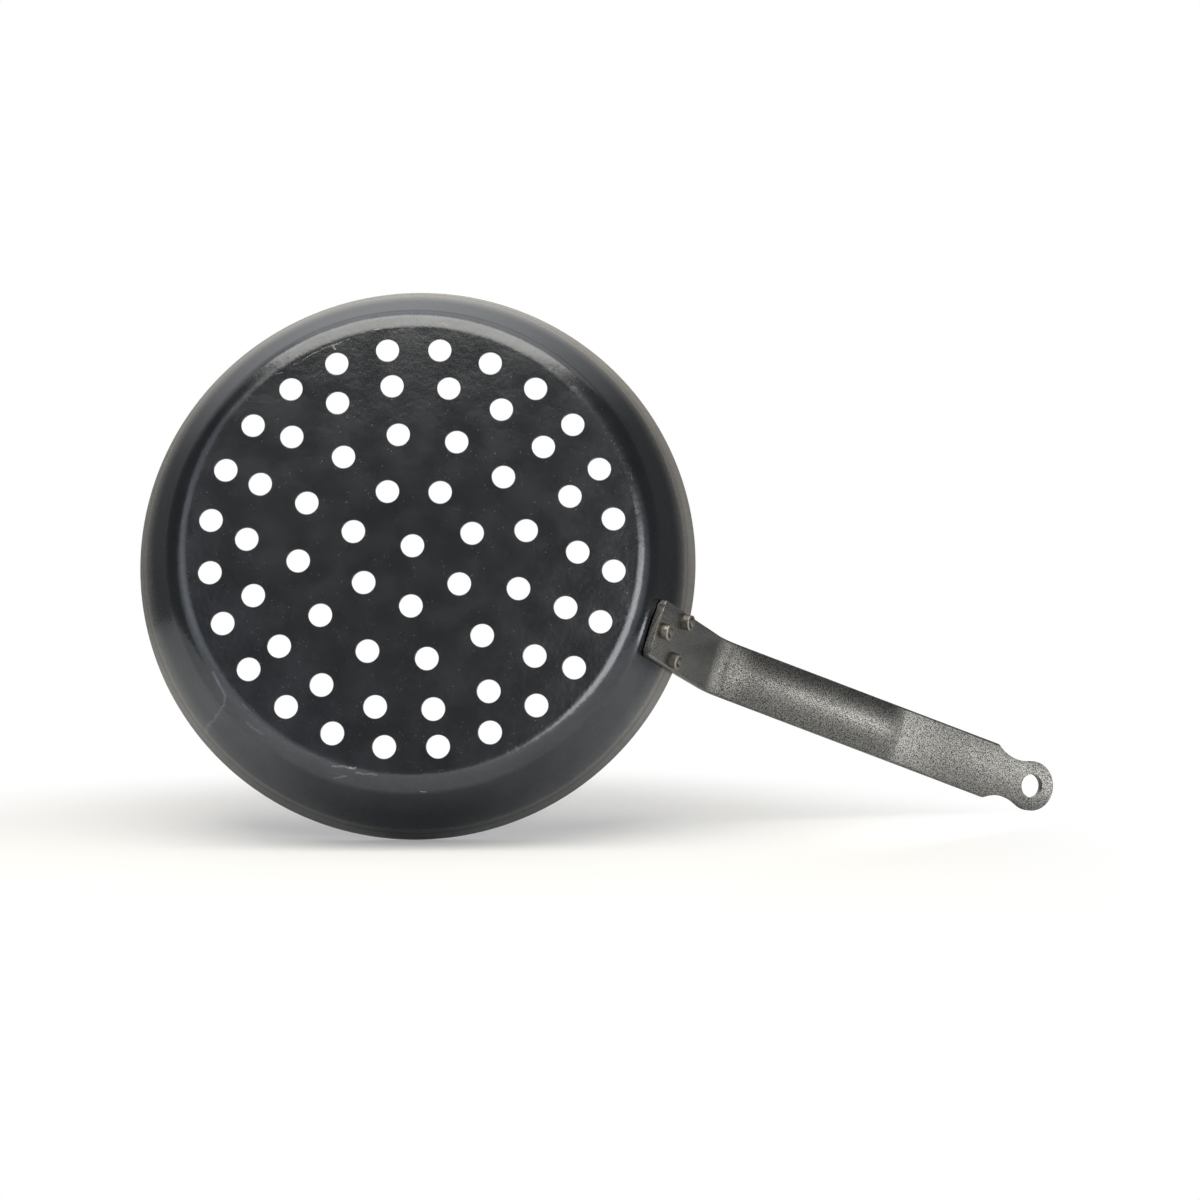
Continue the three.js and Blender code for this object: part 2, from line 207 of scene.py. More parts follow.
class StageSettings(bpy.types.PropertyGroup):
    """Camera, floor and lamps."""

    lens: number("Lens", "Focal length in millimetres on a 36 mm sensor", 60.069, unit="CAMERA")
    camera_place: numbers(
        "Camera place", "Where the camera stands, in metres",
        (0.01101008, 0.13907739, -0.95437149), "TRANSLATION", precision=5,
    )
    camera_turn: numbers(
        "Camera turn", "Turn of the camera, as XYZ angles",
        [math.radians(a) for a in (-171.461246, 1.133217, -18.069867)], "EULER",
    )
    floor_pitch: angle("Floor pitch", "How far the camera looks down on the floor", 1.65)
    floor_drop: length("Floor drop", "From the frame's origin down to the floor", 0.1116)
    floor_colour: colour("Floor colour", "Pale colour of the floor", (0.70, 0.723, 0.756))
    floor_lift: share("Floor lift", "Glow that the camera sees on the floor", 0.20)
    shadow_middle: number(
        "Shadow middle", "Where the shadow lies, as a part of the floor's length", 0.0125,
    )
    air_level: share("Air level", "Even light from all sides on rough surfaces", 0.28)
    room_level: share("Room level", "How bright the room beside the backdrop looks in gloss", 0.18)
    ceiling_level: number("Ceiling level", "How bright the ceiling looks in gloss", 1.0)
    left_level: share("Left level", "How bright the left sheet looks in gloss", 0.65)
    right_level: share("Right level", "How bright the right sheet looks in gloss", 0.45)
    left_sheet: direction(
        "Left sheet", "Direction to the left sheet, in the lamps' frame", (-0.459, -0.265, 0.848),
    )
    right_sheet: direction(
        "Right sheet", "Direction to the right sheet, in the lamps' frame", (0.62, -0.25, 0.743),
    )
    backdrop_side: direction(
        "Backdrop side", "Direction from the pan to the backdrop", (-0.0275, -0.1472, 0.9887),
    )
    ceiling_side: direction(
        "Ceiling side", "Direction from the pan to the ceiling", (-0.43, -0.845, 0.31),
    )
    strip_station: length("Strip station", "From the bend to the middle of the grip's lamp", 0.0675)
    strip_distance: length("Strip distance", "From the grip to its lamp", 0.09)
    strip_power: number("Strip power", "Power of the grip's lamp, in watts", 0.031, unit="POWER")


# Form of the wall and of the bar


class Wall:
    """The straight wall in the plane through the pan's axis and the handle, as distance from
    the axis and height."""

    def __init__(self, pan):
        run = Vector((pan.rim_radius - pan.base_radius, pan.height - pan.corner_radius))
        self.rim = Vector((pan.rim_radius, pan.height))
        self.angle = math.atan2(run.y, run.x) + math.asin(pan.corner_radius / run.length)
        self.length = math.sqrt(run.length_squared - pan.corner_radius ** 2)
        self.up = Vector((math.cos(self.angle), math.sin(self.angle)))
        self.out = Vector((math.sin(self.angle), -math.cos(self.angle)))

    def at(self, down):
        """Point of the outer face at a distance down from the rim."""
        return self.rim - self.up * down


def sagitta(radius, half_chord):
    """Depth of an arc over half of its chord."""
    return radius - math.sqrt(radius ** 2 - half_chord ** 2)


def clamp(value):
    """Value kept between 0 and 1."""
    return min(1.0, max(0.0, value))


def smooth(value, low, high):
    """Share from 0 at low to 1 at high, with soft ends."""
    x = clamp((value - low) / (high - low))
    return x * x * (3 - 2 * x)


def in_plane(co):
    """A point's distance from the pan's axis along the handle, and its height."""
    return Vector((co.x - AXIS_X, co.z))


def in_space(point):
    """Place of a point that is given by its distance from the axis and its height."""
    return Vector((point.x + AXIS_X, 0, point.y))


def steps(start, end, count):
    """Even steps after a start, the last of them at the end."""
    return [start + (end - start) * step / count for step in range(1, count + 1)]


class Bar:
    """Line of the handle's underside, measured from the plate's free end, and what is set
    along it."""

    def __init__(self, pan, bar):
        wall = Wall(pan)
        self.wall = wall
        self.sizes = bar
        self.reach = wall.length - bar.plate_margin
        self.turn = wall.angle - bar.slope
        tangent = bar.bend_radius * math.tan(self.turn / 2)
        self.bend_start = self.reach + bar.bend_run - tangent
        self.bend_end = self.bend_start + bar.bend_radius * self.turn
        self.eye = self.bend_end + bar.grip - tangent
        self.crease = self.eye - bar.crease_to_eye
        self.crown_start = (self.bend_start + self.bend_end) / 2
        self.origin = wall.at(self.reach) + wall.out * (bar.gap + bar.thickness)
        self.bend_centre = self.origin + wall.up * self.bend_start + wall.out * bar.bend_radius
        self.along = Vector((math.cos(bar.slope), math.sin(bar.slope)))
        self.rise = Vector((-self.along.y, self.along.x))
        self.grip_start = self.bend_centre + self.rise * bar.bend_radius
        self.eye_place = self.grip_start + self.along * (self.eye - self.bend_end)
        self.neck_y = bar.waist / 2 + bar.neck_radius
        self.neck_x = -math.sqrt((bar.eye_radius + bar.neck_radius) ** 2 - self.neck_y ** 2)
        side = self.neck_y - bar.neck_width / 2
        self.notch_x = self.neck_x - math.sqrt(bar.neck_radius ** 2 - side ** 2)

    def half_width(self, station):
        """Half of the bar's width, with the round corners of the plate's end."""
        bar = self.sizes
        neck = self.eye + self.notch_x
        on_plate = clamp(station / self.bend_end)
        width = bar.plate_width + (bar.bend_width - bar.plate_width) * on_plate
        on_grip = clamp((station - self.bend_end) / (neck - self.bend_end))
        width += (bar.neck_width - bar.bend_width) * on_grip
        return width / 2 - sagitta(bar.end_round, max(0.0, bar.end_round - max(0.0, station)))

    def station_of(self, co):
        """Station of a point of the bar."""
        point = in_plane(co)
        on_plate = (point - self.origin).dot(self.wall.up)
        if on_plate <= self.bend_start:
            return on_plate
        on_grip = (point - self.grip_start).dot(self.along)
        if on_grip >= 0:
            return self.bend_end + on_grip
        spoke = point - self.bend_centre
        turned = self.wall.angle + math.pi / 2 - math.atan2(spoke.y, spoke.x)
        return self.bend_start + self.sizes.bend_radius * turned

    def beyond(self, element, station):
        """Whether the whole of an edge or face lies at a station or beyond it."""
        return all(self.station_of(vertex.co) > station - SLACK for vertex in element.verts)

    def crown(self, station, y):
        """Height of the pressed crown as a share of its greatest height."""
        bar = self.sizes
        fade_in = smooth(station, self.crown_start, self.crown_start + bar.crown_fade_in)
        fade_out = math.sin(clamp((self.crease - station) / bar.crown_fade_out) * math.pi / 2)
        return fade_in * fade_out * max(0.0, 1 - (y / self.half_width(station)) ** 2)

    def place_on_bar(self, co):
        """Station, side and height above the underside's line, of a point of the bar."""
        point = in_plane(co)
        station = self.station_of(co)
        if station <= self.bend_start:
            height = -(point - self.origin).dot(self.wall.out)
        elif station >= self.bend_end:
            height = (point - self.grip_start).dot(self.rise)
        else:
            height = (point - self.bend_centre).length - self.sizes.bend_radius
        return station, co.y, height

    def saddle(self, station, y):
        """How far the plate's face drops to the round wall beside its centre line."""
        on_wall = self.wall.at(clamp(1 - station / self.reach) * self.reach).x
        wrap = 1 - smooth(station, self.reach, self.bend_start)
        return wrap * sagitta(on_wall, y) * math.sin(self.wall.angle)


# Modelling helpers


def add_object(operator, **settings):
    """Run an add operator with nothing selected, and put the new object's origin at zero."""
    bpy.ops.object.select_all(action="DESELECT")
    operator(**settings)
    bpy.ops.object.transform_apply(location=True, rotation=True, scale=True)
    return bpy.context.object


def activate(piece):
    """Make a piece the only selected object and the active one."""
    bpy.ops.object.select_all(action="DESELECT")
    piece.select_set(True)
    bpy.context.view_layer.objects.active = piece


def edit(piece):
    """Go into edit mode on a piece, with nothing of it selected."""
    activate(piece)
    bpy.ops.object.mode_set(mode="EDIT")
    bpy.ops.mesh.select_mode(type="VERT")
    bpy.ops.mesh.select_all(action="DESELECT")


def leave_edit():
    """Go back to object mode."""
    bpy.ops.object.mode_set(mode="OBJECT")


def pick(piece, kind, rule):
    """In edit mode, select the vertices, edges or faces that a rule holds for."""
    bpy.ops.mesh.select_mode(type=kind)
    bpy.ops.mesh.select_all(action="DESELECT")
    mesh = bmesh.from_edit_mesh(piece.data)
    elements = {"VERT": mesh.verts, "EDGE": mesh.edges, "FACE": mesh.faces}[kind]
    chosen = [element for element in elements if rule(element)]
    if not chosen:
        raise RuntimeError(f"nothing to select on {piece.name}")
    for element in chosen:
        element.select_set(True)
    mesh.select_flush_mode()
    bmesh.update_edit_mesh(piece.data)


def pick_all():
    """In edit mode, select everything."""
    bpy.ops.mesh.select_all(action="SELECT")


def face_outwards():
    """In edit mode, select everything and turn all faces outwards."""
    pick_all()
    bpy.ops.mesh.normals_make_consistent(inside=False)


def put(piece, step, *values):
    """Move a whole piece by a function that moves what is selected."""
    edit(piece)
    pick_all()
    step(*values)
    leave_edit()


def extrude(step):
    """Extrude the selection by a step."""
    bpy.ops.mesh.extrude_region_move(TRANSFORM_OT_translate={"value": step})


def resize(factors, centre):
    """Scale the selection about a point."""
    bpy.ops.transform.resize(value=factors, center_override=centre)


def move(step):
    """Move the selection."""
    bpy.ops.transform.translate(value=step)


def turn(by, axis):
    """Turn the selection about an axis of the frame by the right-hand rule."""
    bpy.ops.transform.rotate(value=-by, orient_axis=axis, center_override=(0, 0, 0))


def spin(by, count, centre, axis):
    """Draw the selection round a centre by the right-hand rule."""
    bpy.ops.mesh.spin(angle=-by, steps=count, center=centre, axis=axis)


def draw_rings(rings, radius, axis_x=0.0):
    """Draw the selected ring about an upright axis through rings of given radius and of given
    height above its own."""
    height = 0.0
    for next_radius, next_height in rings:
        extrude((0, 0, next_height - height))
        factor = next_radius / radius
        resize((factor, factor, 1), (axis_x, 0, next_height))
        radius, height = next_radius, next_height


def apply_modifier(piece, kind, **settings):
    """Add a modifier with its settings and apply it."""
    activate(piece)
    modifier = piece.modifiers.new(kind.title(), kind)
    for name, value in settings.items():
        setattr(modifier, name, value)
    bpy.ops.object.modifier_apply(modifier=modifier.name)


def press(piece, axis, depth, weight_of):
    """Move the surface along an axis by weights, as a press does."""
    group = piece.vertex_groups.new(name="press")
    for vertex in piece.data.vertices:
        group.add([vertex.index], clamp(weight_of(vertex.co)), "REPLACE")
    apply_modifier(
        piece, "DISPLACE", direction=axis, strength=depth, mid_level=0, vertex_group="press",
    )
    piece.vertex_groups.remove(piece.vertex_groups["press"])


def cut(piece, cutter):
    """Cut a piece by another object, which is then removed."""
    apply_modifier(piece, "BOOLEAN", operation="DIFFERENCE", solver="EXACT", object=cutter)
    bpy.data.objects.remove(cutter)


def is_sharp(edge, sharper_than):
    """Whether an edge between two faces is sharper than an angle."""
    return edge.is_manifold and edge.calc_face_angle() > sharper_than


def note_place(piece, name, place_of):
    """Store a place of its own for each vertex, for the material to read."""
    noted = piece.data.attributes.new(name, "FLOAT_VECTOR", "POINT")
    for vertex, entry in zip(piece.data.vertices, noted.data):
        entry.vector = place_of(vertex.co)


def finish_piece(piece, name, node, material):
    """Name a finished piece, shade it, give it its material and tie it to the frame."""
    activate(piece)
    bpy.ops.object.shade_smooth_by_angle(angle=math.radians(35))
    apply_modifier(piece, "WEIGHTED_NORMAL", keep_sharp=True)
    piece.name = name
    piece.data.name = name
    piece.data.materials.clear()
    piece.data.materials.append(material)
    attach(piece, "root")
    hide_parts(node)


# Pan body


def hole_centres(pan):
    """Middle of each punched hole, in metres."""
    outer = pan.base_radius - pan.ring_inset
    for ring_share, count in HOLE_RINGS:
        for index in range(count):
            azimuth = pan.pattern_turn + 2 * math.pi * index / count
            radius = outer * ring_share
            yield AXIS_X + radius * math.cos(azimuth), radius * math.sin(azimuth)


def wall_rings(pan):
    """Rings of the bowl's outside above the base: distance from the axis and height."""
    wall = Wall(pan)
    for tilt in steps(0.0, wall.angle, CORNER_STEPS):
        radius = pan.base_radius + pan.corner_radius * math.sin(tilt)
        yield radius, pan.corner_radius * (1 - math.cos(tilt))
    for down in WALL_RINGS:
        yield tuple(wall.at(down))


def from_axis(vertex):
    """Distance of a vertex from the pan's axis."""
    return math.hypot(vertex.co.x - AXIS_X, vertex.co.y)


def model_bowl(pan):
    """The bowl: a plate with round holes, whose edge is drawn up the wall."""
    piece = add_object(
        bpy.ops.mesh.primitive_circle_add,
        vertices=BOWL_SIDES, radius=pan.base_radius, location=(AXIS_X, 0, 0),
    )
    edit(piece)
    for x, y in hole_centres(pan):
        bpy.ops.mesh.primitive_circle_add(
            vertices=HOLE_SIDES, radius=pan.hole_radius, location=(x, y, 0),
        )
    pick_all()
    bpy.ops.mesh.fill(use_beauty=True)
    pick_all()
    bpy.ops.mesh.inset(thickness=HOLE_LIP, use_boundary=True, use_even_offset=True)

    painted_edge_highlight = pan.base_radius - SLACK
    pick(piece, "EDGE", lambda edge: all(from_axis(vertex) > painted_edge_highlight for vertex in edge.verts))
    draw_rings(wall_rings(pan), pan.base_radius, AXIS_X)
    face_outwards()
    mesh = bmesh.from_edit_mesh(piece.data)
    mesh.faces.ensure_lookup_table()
    if mesh.faces[0].normal.z > 0:
        bpy.ops.mesh.flip_normals()
    leave_edit()
    apply_modifier(piece, "SOLIDIFY", thickness=pan.sheet, offset=-1, use_even_offset=True)

    edit(piece)
    pick(piece, "VERT", lambda vertex: vertex.co.z > pan.height + SLACK)
    mesh = bmesh.from_edit_mesh(piece.data)
    inner = next(vertex for vertex in mesh.verts if vertex.select)
    inner_height = inner.co.z
    factor = (pan.rim_radius - pan.sheet / math.sin(Wall(pan).angle)) / from_axis(inner)
    resize((factor, factor, 1), (AXIS_X, 0, inner_height))
    move((0, 0, pan.height - inner_height))
    pick(piece, "EDGE", lambda edge: is_sharp(edge, math.radians(50)))
    bpy.ops.mesh.bevel(offset=pan.edge_round, segments=3, affect="EDGES")
    leave_edit()
    return piece


# Handle


def bar_section(line):
    """Loop of edges round the flat bar's section, with its underside on the ground."""
    bar = line.sizes
    piece = add_object(
        bpy.ops.mesh.primitive_plane_add,
        size=1, location=(0, 0, 0.5), rotation=(0, math.pi / 2, 0),
    )
    edit(piece)
    pick_all()
    resize((1, bar.plate_width, bar.thickness), (0, 0, 0))
    pick(piece, "EDGE", lambda edge: abs(edge.verts[0].co.z - edge.verts[1].co.z) < SLACK)
    bpy.ops.mesh.subdivide(number_cuts=SECTION_CUTS)
    pick_all()
    bpy.ops.mesh.dissolve_faces()
    corner = bar.plate_width / 2 - SLACK
    pick(piece, "VERT", lambda vertex: abs(vertex.co.y) > corner)
    bpy.ops.mesh.bevel(offset=bar.edge_round, segments=4, affect="VERTICES")
    pick_all()
    bpy.ops.mesh.delete(type="ONLY_FACE")
    return piece


def arc_runs(radius, degrees):
    """Run from the start of a round edge to its points at some angles."""
    return [radius * (1 - math.cos(math.radians(turned))) for turned in degrees]


def plate_rows(line):
    """Station and height of each row of the plate: close together where its end's edge and
    corners are round, then even."""
    bar = line.sizes
    edge = bar.end_edge_round
    stations = arc_runs(edge, (0, 30, 60, 90)) + arc_runs(bar.end_round, (30, 45, 60, 75, 90))
    for station in sorted(stations):
        yield station, bar.thickness - 2 * sagitta(edge, max(0.0, edge - station))
    for station in steps(bar.end_round, line.bend_start, PLATE_STEPS):
        yield station, bar.thickness


def model_bar(line):
    """The bar: its section is drawn out into the plate, pressed to the wall's curve and put
    in place, spun round the bend, drawn out along the grip and pressed into a crown."""
    bar = line.sizes
    piece = bar_section(line)
    pick_all()
    width, height, here = bar.plate_width, bar.thickness, None
    for there, next_height in plate_rows(line):
        next_width = 2 * line.half_width(there)
        if here is not None:
            extrude((there - here, 0, 0))
        factors = (1, next_width / width, next_height / height)
        resize(factors, (there, 0, bar.thickness / 2))
        width, height, here = next_width, next_height, there
    pick(piece, "EDGE", lambda edge: all(vertex.co.x < SLACK for vertex in edge.verts))
    bpy.ops.mesh.edge_face_add()
    leave_edit()

    half = bar.plate_width / 2
    deepest = line.saddle(0, half)
    press(piece, "Z", deepest, lambda co: line.saddle(co.x, min(half, abs(co.y))) / deepest)
    press(piece, "X", bar.end_bulge, lambda co: (
        (co.y / line.half_width(co.x)) ** 2 * max(0.0, 1 - co.x / line.reach)
    ))
    edit(piece)
    pick_all()
    turn(-line.wall.angle, "Y")
    move(in_space(line.origin))
    pick(piece, "EDGE", lambda edge: line.beyond(edge, line.bend_start))
    spin(line.turn, BEND_STEPS, in_space(line.bend_centre), (0, 1, 0))
    fade = line.crease - bar.crown_fade_out
    rows = steps(line.bend_end, fade, GRIP_STEPS) + steps(fade, line.crease, CREASE_STEPS)
    rows += [line.eye + line.notch_x, line.eye + bar.eye_radius + SPARE_BAR]
    here = line.bend_end
    for there in rows:
        step = line.along * (there - here)
        extrude((step.x, 0, step.y))
        resize((1, line.half_width(there) / line.half_width(here), 1), (0, 0, 0))
        here = there
    bpy.ops.mesh.edge_face_add()
    face_outwards()
    turn(bar.slope, "Y")
    leave_edit()

    level = Matrix.Rotation(-bar.slope, 3, "Y")

    def crown_weight(co):
        place = level @ co
        return line.crown(line.station_of(place), place.y)

    press(piece, "Z", -bar.crown_height, crown_weight)
    put(piece, turn, -bar.slope, "Y")
    return piece


def dissolve_flat_end(piece, line):
    """Make the flat faces beyond the crease one face above and one below."""
    rise = Vector((line.rise.x, 0, line.rise.y))

    def is_flat_end(face):
        return abs(face.normal.dot(rise)) > 0.9999 and line.beyond(face, line.crease)

    edit(piece)
    pick(piece, "FACE", is_flat_end)
    bpy.ops.mesh.dissolve_limited(angle_limit=math.radians(0.5))
    leave_edit()


def to_eye(line):
    """Turn and move what is selected from the ground to its place on the grip."""
    turn(-line.sizes.slope, "Y")
    move(in_space(line.eye_place))


def punch_waste(line):
    """What the punch takes away round the neck and the eye, as a C-shaped block."""
    bar = line.sizes
    side = bar.neck_width / 2
    outside = side + SPARE_WASTE
    at_notch = math.atan2(line.neck_y - side, line.notch_x - line.neck_x)
    at_eye = math.atan2(line.neck_y, -line.neck_x)
    up = (0, 0, 1)
    piece = add_object(bpy.ops.mesh.primitive_plane_add, size=0.001)
    edit(piece)
    pick_all()
    bpy.ops.mesh.merge(type="CENTER")
    move((line.notch_x, -outside, 0))
    extrude((0, outside - side, 0))
    spin(at_eye - at_notch, 16, (line.neck_x, -line.neck_y, 0), up)
    spin(2 * (math.pi - at_eye), 64, (0, 0, 0), up)
    spin(at_eye - at_notch, 16, (line.neck_x, line.neck_y, 0), up)
    extrude((0, outside - side, 0))
    extrude((bar.eye_radius + 2 * SPARE_WASTE - line.notch_x, 0, 0))
    extrude((0, -2 * outside, 0))
    pick_all()
    bpy.ops.mesh.edge_face_add()
    pick_all()
    move((0, 0, PUNCH_START))
    extrude((0, 0, PUNCH_DEPTH))
    face_outwards()
    to_eye(line)
    leave_edit()
    return piece


def model_handle(line, rivets):
    """The whole handle: the bar with its neck, its eye and its rivet holes."""
    bar = line.sizes
    piece = model_bar(line)
    dissolve_flat_end(piece, line)
    cut(piece, punch_waste(line))
    drill = add_object(
        bpy.ops.mesh.primitive_cylinder_add, vertices=64, radius=bar.eye_hole, depth=EYE_DRILL,
    )
    put(drill, to_eye, line)
    cut(piece, drill)
    notch = line.eye + line.notch_x
    edit(piece)
    pick(piece, "EDGE", lambda edge: is_sharp(edge, math.radians(60)) and line.beyond(edge, notch))
    bpy.ops.mesh.bevel(offset=bar.cut_round, segments=2, affect="EDGES")
    leave_edit()
    drill_rivet_holes(piece, line, rivets)
    return piece


# Rivets


def rivet_places(line, rivets):
    """Distance down from the rim and to one side, for each rivet."""
    lower = line.reach - rivets.end_to_lower
    side = line.half_width(line.reach - rivets.rim_to_upper) - rivets.side_to_upper
    return {
        "rivet_lower": (lower, 0.0),
        "rivet_upper_left": (rivets.rim_to_upper, -side),
        "rivet_upper_right": (rivets.rim_to_upper, side),
    }


def to_wall(line, down, side):
    """Turn and move what is selected from the Z axis to a rivet's place on the wall."""
    foot = line.wall.at(down)
    turn(math.pi - line.wall.angle, "Y")
    move((foot.x, 0, foot.y))
    turn(math.asin(side / foot.x), "Z")
    move((AXIS_X, 0, 0))


def drill_rivet_holes(piece, line, rivets):
    """Drill the three rivets' holes through the plate or the wall."""
    for down, side in rivet_places(line, rivets).values():
        drill = add_object(
            bpy.ops.mesh.primitive_cylinder_add,
            vertices=40, radius=rivets.shank + rivets.clearance, depth=RIVET_DRILL,
        )
        put(drill, to_wall, line, down, side)
        cut(piece, drill)


def model_rivet(line, rivets, sheet):
    """A rivet along Z, with zero on the wall's outer face: shank, dimpled tail, domed head."""
    bar = line.sizes
    on_inside = line.wall.at(line.reach - rivets.end_to_lower).x - sheet
    head_seat = -sheet - bar.gap - sagitta(on_inside, rivets.head)
    tail_seat = bar.thickness + bar.gap
    piece = add_object(
        bpy.ops.mesh.primitive_cylinder_add, vertices=48, radius=rivets.shank,
        depth=tail_seat - head_seat, location=(0, 0, (tail_seat + head_seat) / 2),
    )
    straight = rivets.tail_height - rivets.tail_edge
    tail = [(rivets.tail, 0.0), (rivets.tail, straight)]
    for tilt in map(math.radians, (22.5, 45, 67.5, 90)):
        narrow = rivets.tail - rivets.tail_edge * (1 - math.cos(tilt))
        tail.append((narrow, straight + rivets.tail_edge * math.sin(tilt)))
    for narrow, depth in ((0.93, 0.0), (0.9, 0.08), (0.8, 0.5), (0.6, 0.82), (0.3, 1.0)):
        bottom = rivets.tail_height - rivets.dimple_depth * depth
        tail.append((rivets.dimple * narrow / 0.9, bottom))
    head = [(rivets.head, 0.0), (rivets.head, -rivets.head_rim)]
    dome = rivets.head_height - rivets.head_rim
    for tilt in map(math.radians, (10, 25, 40, 55, 70, 82)):
        head.append((rivets.head * math.cos(tilt), -rivets.head_rim - dome * math.sin(tilt)))

    edit(piece)
    pick(piece, "FACE", lambda face: face.normal.z > 0.9)
    draw_rings(tail, rivets.shank)
    pick(piece, "FACE", lambda face: face.normal.z < -0.9 and face.calc_center_median().z < 0)
    draw_rings(head, rivets.shank)
    leave_edit()
    return piece


# Material helpers


def node(tree, kind, inputs=(), **settings):
    """Add a shader node, set its options, and link or set its inputs by name or number."""
    new = tree.nodes.new("ShaderNode" + kind)
    for name, value in settings.items():
        setattr(new, name, value)
    for name, value in dict(inputs).items():
        if isinstance(value, Field):
            value = value.socket
        if isinstance(value, bpy.types.NodeSocket):
            tree.links.new(value, new.inputs[name])
        else:
            new.inputs[name].default_value = value
    return new


class Field:
    """A number that changes over a surface, with the usual signs of arithmetic."""

    def __init__(self, tree, socket):
        self.tree = tree
        self.socket = socket

    def calc(self, operation, *others, first=None):
        """Result of a math node on this number and others."""
        values = (self, *others) if first is None else (first, self, *others)
        maths = node(self.tree, "Math", enumerate(values), operation=operation)
        return Field(self.tree, maths.outputs[0])

    def __add__(self, other):
        return self.calc("ADD", other)

    def __sub__(self, other):
        return self.calc("SUBTRACT", other)

    def __rsub__(self, other):
        return self.calc("SUBTRACT", first=other)

    def __mul__(self, other):
        return self.calc("MULTIPLY", other)

    def __truediv__(self, other):
        return self.calc("DIVIDE", other)

    __radd__ = __add__
    __rmul__ = __mul__

    def size(self):
        """Number without its sign."""
        return self.calc("ABSOLUTE")

    def root(self):
        """Square root."""
        return self.calc("SQRT")

    def limit(self):
        """Number kept between 0 and 1."""
        return node_field(self.tree, "Clamp", {"Value": self})

    def between(self, low, high, to_low=0.0, to_high=1.0):
        """Number mapped with soft ends from the range low to high onto another range."""
        inputs = {
            "Value": self, "From Min": low, "From Max": high, "To Min": to_low, "To Max": to_high,
        }
        return node_field(self.tree, "MapRange", inputs, interpolation_type="SMOOTHSTEP")

    def line_at(self, centre, half_width):
        """Mask of a soft line where the number meets the centre."""
        return (self - centre).size().between(0.0, half_width, 1.0, 0.0)


def node_field(tree, kind, inputs=(), output=0, **settings):
    """First or named output of a new node, as a field."""
    return Field(tree, node(tree, kind, inputs, **settings).outputs[output])


def xyz(tree, vector):
    """Three numbers of a vector."""
    parts = node(tree, "SeparateXYZ", {0: vector})
    return [Field(tree, part) for part in parts.outputs]


def combine(tree, *parts):
    """Vector of three numbers."""
    return node(tree, "CombineXYZ", enumerate(parts)).outputs[0]


def vector_calc(tree, operation, first, second, output=0):
    """Output of a vector math node."""
    return node(tree, "VectorMath", {0: first, 1: second}, operation=operation).outputs[output]


def dot(tree, first, second):
    """Dot product of two vectors."""
    return Field(tree, vector_calc(tree, "DOT_PRODUCT", first, second, "Value"))


def blend(tree, second_share, first, second, mode="MIX"):
    """Mix of two colours."""
    inputs = {0: second_share, 6: first, 7: second}
    return node(tree, "Mix", inputs, data_type="RGBA", blend_type=mode).outputs[2]


def noise(tree, vector, scale, detail=2.0):
    """Soft noise about one half."""
    inputs = {"Vector": vector, "Scale": scale, "Detail": detail}
    return node_field(tree, "TexNoise", inputs)


def shader_group(output, sockets):
    """Decorator that makes a function into a node group with one output and with sockets of
    given defaults, None for a vector. The result places the group in a tree, as a field."""
    def decorate(build):
        def make():
            group = bpy.data.node_groups.new(build.__name__, "ShaderNodeTree")
            add_socket = group.interface.new_socket
            for label, default in sockets.items():
                kind = "NodeSocketVector" if default is None else "NodeSocketFloat"
                socket = add_socket(name=label, in_out="INPUT", socket_type=kind)
                if default is not None:
                    socket.default_value = default
            add_socket(name=output, in_out="OUTPUT", socket_type="NodeSocketFloat")
            given = group.nodes.new("NodeGroupInput").outputs
            leave = group.nodes.new("NodeGroupOutput")
            group.links.new(build(group, given).socket, leave.inputs[output])
            return group

        def place(tree, inputs):
            group = bpy.data.node_groups.get(build.__name__) or make()
            return node_field(tree, "Group", inputs, node_tree=group)

        return place
    return decorate


@shader_group("Tone", {"Place": None, "Per Metre": 100.0})
def tone_patches(tree, given):
    """Cloudy changes of tone: from 0 in dark patches to 1 in pale ones."""
    return noise(tree, given["Place"], given["Per Metre"], 5.0).between(0.3, 0.7)


@shader_group("Specks", {"Place": None, "Per Metre": 300.0, "Size": 0.2, "Share": 0.3})
def small_specks(tree, given):
    """Small round specks, set at random."""
    cells = node(tree, "TexVoronoi", {"Vector": given["Place"], "Scale": given["Per Metre"]})
    chance = xyz(tree, cells.outputs["Color"])[0]
    size = Field(tree, given["Size"])
    near = Field(tree, cells.outputs["Distance"]).between(size * 0.5, size, 1.0, 0.0)
    return near * chance.calc("LESS_THAN", given["Share"])


@shader_group("Scratches", {"Place": None})
def hair_scratches(tree, given):
    """Fine straight scratches in several directions."""
    place = given["Place"]
    bent = vector_calc(tree, "ADD", place, noise(tree, place, 30.0) * 0.0015)
    total = None
    for turned in ((0.3, 0.2, 0.5), (-0.4, 0.1, 1.7), (0.1, -0.5, 2.6)):
        inputs = {"Vector": bent, "Scale": (30.0, 2200.0, 30.0), "Rotation": turned}
        drawn = node(tree, "Mapping", inputs).outputs[0]
        lines = noise(tree, drawn, 1.0, 1.0).between(0.70, 0.80)
        total = lines if total is None else total + lines
    gaps = noise(tree, place, 45.0).between(0.5, 0.62)
    return (total * gaps).limit()


@shader_group("Scratch", {"Place": None, "From": None, "To": None, "Half Width": 0.0005})
def single_scratch(tree, given):
    """One straight scratch between two points."""
    whole = vector_calc(tree, "SUBTRACT", given["To"], given["From"])
    here = vector_calc(tree, "SUBTRACT", given["Place"], given["From"])
    inputs = {0: whole, "Scale": (dot(tree, whole, here) / dot(tree, whole, whole)).limit()}
    foot = node(tree, "VectorMath", inputs, operation="SCALE").outputs[0]
    off = Field(tree, vector_calc(tree, "DISTANCE", here, foot, "Value"))
    width = Field(tree, given["Half Width"])
    return off.between(width * 0.3, width, 1.0, 0.0)


